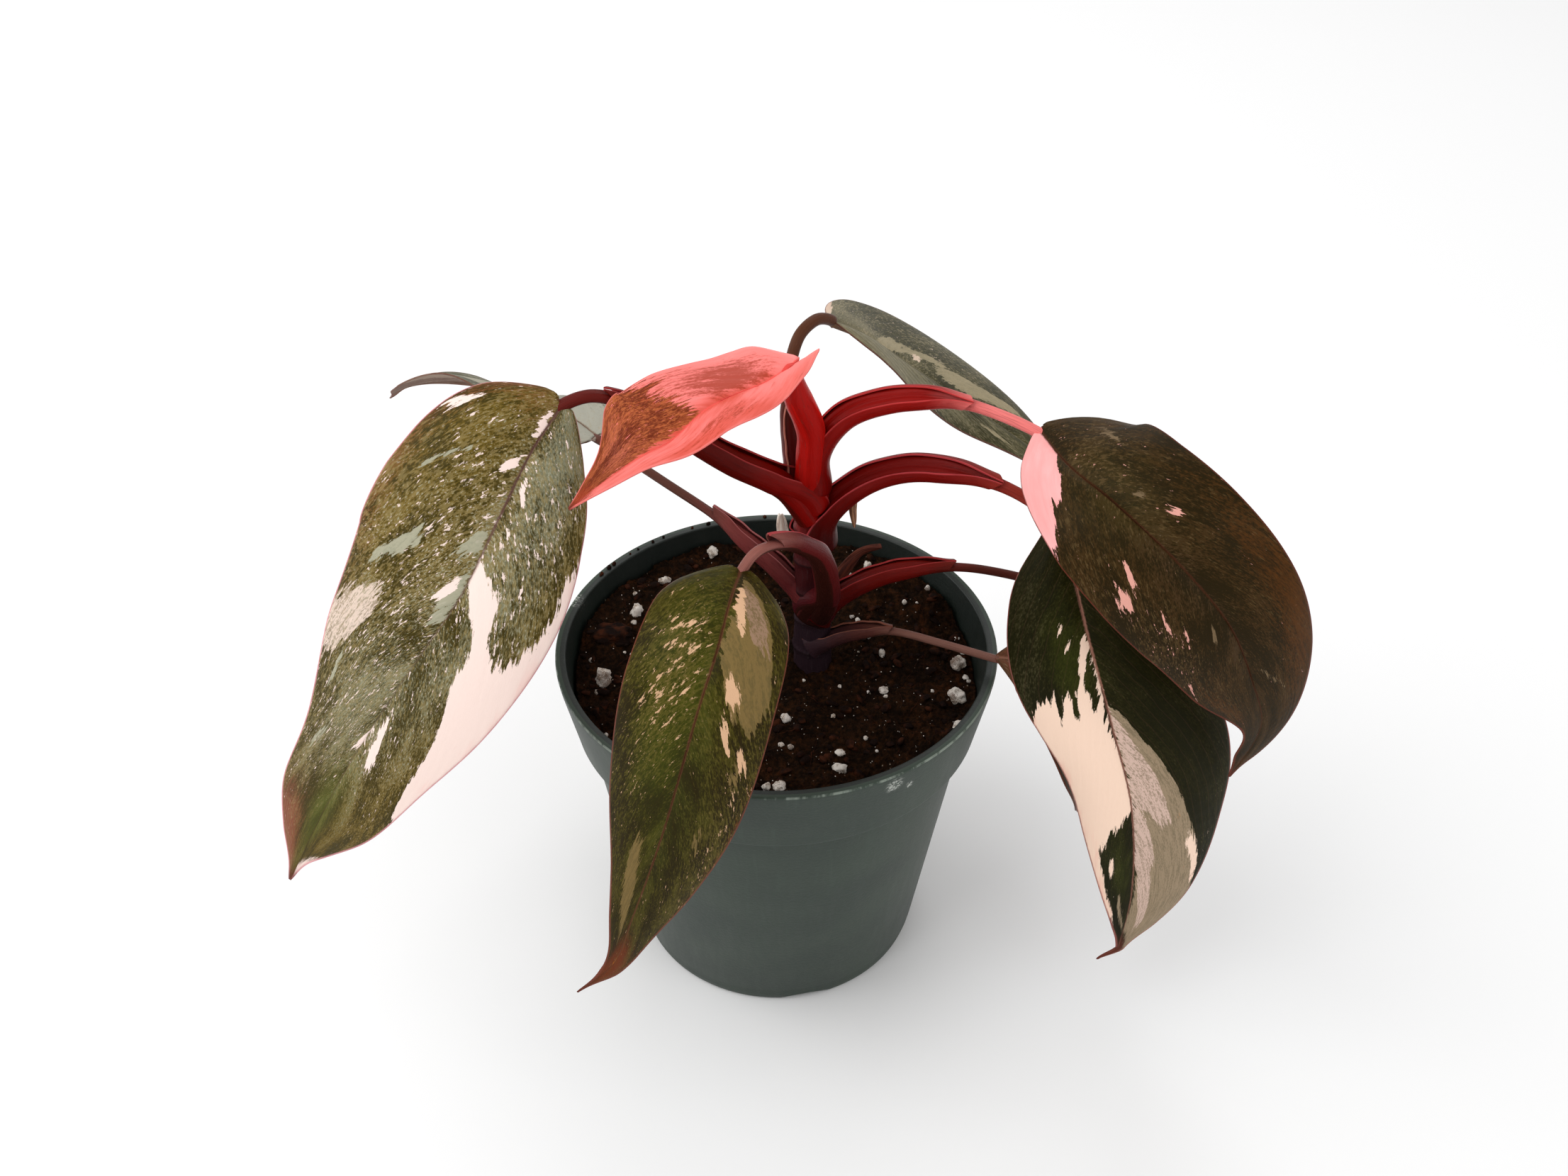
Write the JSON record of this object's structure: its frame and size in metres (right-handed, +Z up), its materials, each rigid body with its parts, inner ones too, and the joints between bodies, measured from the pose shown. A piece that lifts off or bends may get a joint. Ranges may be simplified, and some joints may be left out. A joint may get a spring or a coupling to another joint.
{
  "type": "potted pink princess philodendron",
  "caption": "Pink-variegated philodendron with drooping heart-shaped blades on red sheathed petioles, standing in potting mix with perlite in a green tapered nursery pot.",
  "frame": {"origin": "centre of the pot's underside, on the surface that it stands on", "axes": "+Z up along the pot's axis, -Y towards the front leaf and the viewer, +X to the viewer's right"},
  "size_m": [0.2282, 0.1511, 0.1763],
  "materials": {
    "pot": "matte dark green moulded plastic, slightly scuffed",
    "potting_mix": "rough dark peat and bark with white perlite grains",
    "stalks": "smooth waxy dark red",
    "leaves": "satin dark olive with cream and pink variegation",
    "new_leaf": "satin coral pink with rust-brown patches",
    "pale_bract": "dry papery cream",
    "dry_bracts": "dry papery brown"
  },
  "bodies": {
    "root": {"pot": "pot", "potting_mix": "potting_mix", "stem": "stalks", "petiole_left": "stalks", "petiole_front": "stalks", "petiole_new": "stalks", "petiole_top": "stalks", "petiole_right": "stalks", "petiole_lower_right": "stalks", "petiole_back_left": "stalks", "petiole_low": "stalks", "petiole_hidden": "stalks", "leaf_left": "leaves", "leaf_front": "leaves", "leaf_new": "new_leaf", "leaf_top": "leaves", "leaf_right": "leaves", "leaf_lower_right": "leaves", "leaf_back_left": "leaves", "leaf_low": "leaves", "leaf_hidden": "leaves", "bract_pale": "pale_bract", "bract_hanging": "dry_bracts", "bract_curled": "dry_bracts"}
  },
  "joints": []
}
